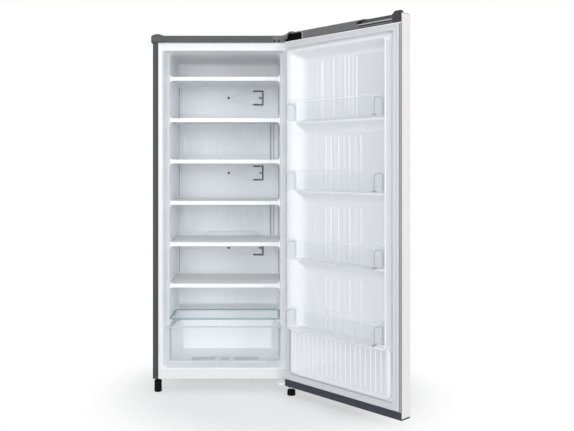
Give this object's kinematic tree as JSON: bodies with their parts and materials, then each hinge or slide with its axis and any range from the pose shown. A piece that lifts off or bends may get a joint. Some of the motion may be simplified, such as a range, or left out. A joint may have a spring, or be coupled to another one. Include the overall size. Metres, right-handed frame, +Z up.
{
  "type": "upright freezer",
  "caption": "Upright freezer with a hinged door, pull-out shelves, a glass shelf above a clear drawer, and clear lift-out bins on the door.",
  "frame": {"origin": "on the floor, under the middle of the bounding box of the freezer with its door open", "axes": "+Z up, -Y out of the doorway towards the user, +X towards the hinge side"},
  "size_m": [1.0022, 1.031, 1.508],
  "materials": {
    "cabinet_paint": "satin dark grey paint",
    "door_paint": "satin cream-white paint",
    "foam": "rigid polyurethane foam",
    "cabinet_lining": "moulded satin plastic",
    "door_lining": "moulded satin plastic",
    "shelf": "moulded plastic",
    "duct_cover": "moulded plastic",
    "tempered_glass": "clear with green edge",
    "clear_drawer": "clear polystyrene",
    "clear_bin": "clear polystyrene",
    "grey_trim": "dark grey plastic",
    "corner_cap": "dark grey plastic",
    "hinge_cover": "mid grey plastic",
    "kick_paint": "light grey paint",
    "door_top_trim": "dark grey plastic",
    "door_bottom_trim": "blue-grey plastic",
    "black_plastic": "black plastic",
    "bush_plastic": "natural acetal",
    "seal": "soft grey seal",
    "magnet": "magnetic strip",
    "hinge_steel": "zinc plated",
    "screw_steel": "zinc plated",
    "galvanised": "galvanised sheet",
    "grille_paint": "black paint",
    "fins": "bare aluminium",
    "fan_plastic": "black plastic",
    "motor": "grey paint",
    "compressor_paint": "gloss black paint",
    "mount_rubber": "black rubber",
    "pan_plastic": "grey plastic",
    "control_plastic": "white plastic",
    "roller_plastic": "black nylon"
  },
  "bodies": {
    "cabinet": {"left_side_panel": "cabinet_paint", "right_side_panel": "cabinet_paint", "top_panel": "cabinet_paint", "back_panel": "galvanised", "machine_compartment_panel": "galvanised", "base_plate": "galvanised", "front_top_rail": "grey_trim", "left_corner_cap": "corner_cap", "kick_plate": "kick_paint", "cabinet_insulation": "foam", "inner_liner": "cabinet_lining", "air_duct_cover": "duct_cover", "duct_cover_screws": "black_plastic", "evaporator": "fins", "evaporator_fan_motor": "motor", "upper_hinge_bracket": "hinge_steel", "hinge_cover": "hinge_cover", "lower_hinge_bracket": "hinge_steel", "hinge_screws": "screw_steel", "rear_roller_brackets": "galvanised", "rear_roller_axles": "screw_steel", "compressor": "compressor_paint", "compressor_mounts": "mount_rubber", "evaporation_pan": "pan_plastic", "condenser": "fins", "condenser_fan_motor": "motor", "rear_grille": "grille_paint", "rear_grille_screws": "screw_steel", "cable_gland": "black_plastic", "control_box": "control_plastic"},
    "drawer": {"drawer_box": "clear_drawer", "drawer_front": "clear_drawer"},
    "glass_shelf": {"glass_shelf": "tempered_glass"},
    "door": {"door_outer_skin": "door_paint", "door_insulation": "foam", "door_inner_liner": "door_lining", "door_gasket": "seal", "gasket_magnet_strips": "magnet", "door_top_cap": "door_top_trim", "hinge_pocket_insert": "black_plastic", "upper_hinge_bush": "bush_plastic", "door_bottom_cap": "door_bottom_trim", "lower_hinge_bush": "bush_plastic"},
    "front_left_foot": {"front_left_foot": "black_plastic"},
    "front_right_foot": {"front_right_foot": "black_plastic"},
    "rear_left_roller": {"rear_left_roller": "roller_plastic"},
    "rear_right_roller": {"rear_right_roller": "roller_plastic"},
    "evaporator_fan": {"evaporator_fan": "fan_plastic"},
    "condenser_fan": {"condenser_fan": "fan_plastic"},
    "shelf_1": {"shelf_1": "shelf"},
    "shelf_2": {"shelf_2": "shelf"},
    "shelf_3": {"shelf_3": "shelf"},
    "shelf_4": {"shelf_4": "shelf"},
    "shelf_5": {"shelf_5": "shelf"},
    "shelf_6": {"shelf_6": "shelf"},
    "door_bin_1": {"door_bin_1": "clear_bin"},
    "door_bin_2": {"door_bin_2": "clear_bin"},
    "door_bin_3": {"door_bin_3": "clear_bin"},
    "door_bin_4": {"door_bin_4": "clear_bin"}
  },
  "joints": [
    {"name": "door_hinge", "type": "hinge", "parent": "cabinet", "child": "door", "pos_m": [0.08538, -0.06445, 0], "axis": [0, 0, 1], "range_deg": [-133, 0]},
    {"name": "shelf_1_slide", "type": "slide", "parent": "cabinet", "child": "shelf_1", "axis": [0, -1, 0], "range_m": [0, 0.3]},
    {"name": "shelf_2_slide", "type": "slide", "parent": "cabinet", "child": "shelf_2", "axis": [0, -1, 0], "range_m": [0, 0.3]},
    {"name": "shelf_3_slide", "type": "slide", "parent": "cabinet", "child": "shelf_3", "axis": [0, -1, 0], "range_m": [0, 0.3]},
    {"name": "shelf_4_slide", "type": "slide", "parent": "cabinet", "child": "shelf_4", "axis": [0, -1, 0], "range_m": [0, 0.3]},
    {"name": "shelf_5_slide", "type": "slide", "parent": "cabinet", "child": "shelf_5", "axis": [0, -1, 0], "range_m": [0, 0.3]},
    {"name": "shelf_6_slide", "type": "slide", "parent": "cabinet", "child": "shelf_6", "axis": [0, -1, 0], "range_m": [0, 0.3]},
    {"name": "glass_shelf_slide", "type": "slide", "parent": "cabinet", "child": "glass_shelf", "axis": [0, -1, 0], "range_m": [0, 0.2]},
    {"name": "drawer_slide", "type": "slide", "parent": "cabinet", "child": "drawer", "axis": [0, -1, 0], "range_m": [0, 0.18]},
    {"name": "door_bin_1_lift", "type": "slide", "parent": "door", "child": "door_bin_1", "axis": [0, 0, 1], "range_m": [0, 0.03]},
    {"name": "door_bin_2_lift", "type": "slide", "parent": "door", "child": "door_bin_2", "axis": [0, 0, 1], "range_m": [0, 0.03]},
    {"name": "door_bin_3_lift", "type": "slide", "parent": "door", "child": "door_bin_3", "axis": [0, 0, 1], "range_m": [0, 0.03]},
    {"name": "door_bin_4_lift", "type": "slide", "parent": "door", "child": "door_bin_4", "axis": [0, 0, 1], "range_m": [0, 0.03]},
    {"name": "front_left_foot_turn", "type": "hinge", "parent": "cabinet", "child": "front_left_foot", "pos_m": [-0.47513, -0.01145, 0], "axis": [0, 0, 1], "continuous": true},
    {"name": "front_right_foot_turn", "type": "hinge", "parent": "cabinet", "child": "front_right_foot", "pos_m": [0.08538, -0.06445, 0], "axis": [0, 0, 1], "continuous": true},
    {"name": "rear_left_roller_spin", "type": "hinge", "parent": "cabinet", "child": "rear_left_roller", "pos_m": [-0.43962, 0.45355, 0.021], "axis": [1, 0, 0], "continuous": true},
    {"name": "rear_right_roller_spin", "type": "hinge", "parent": "cabinet", "child": "rear_right_roller", "pos_m": [0.04537, 0.45355, 0.021], "axis": [1, 0, 0], "continuous": true},
    {"name": "evaporator_fan_spin", "type": "hinge", "parent": "cabinet", "child": "evaporator_fan", "pos_m": [-0.19712, 0.40155, 1.08], "axis": [0, 1, 0], "continuous": true},
    {"name": "condenser_fan_spin", "type": "hinge", "parent": "cabinet", "child": "condenser_fan", "pos_m": [-0.36212, 0.43955, 0.143], "axis": [0, 1, 0], "continuous": true}
  ]
}
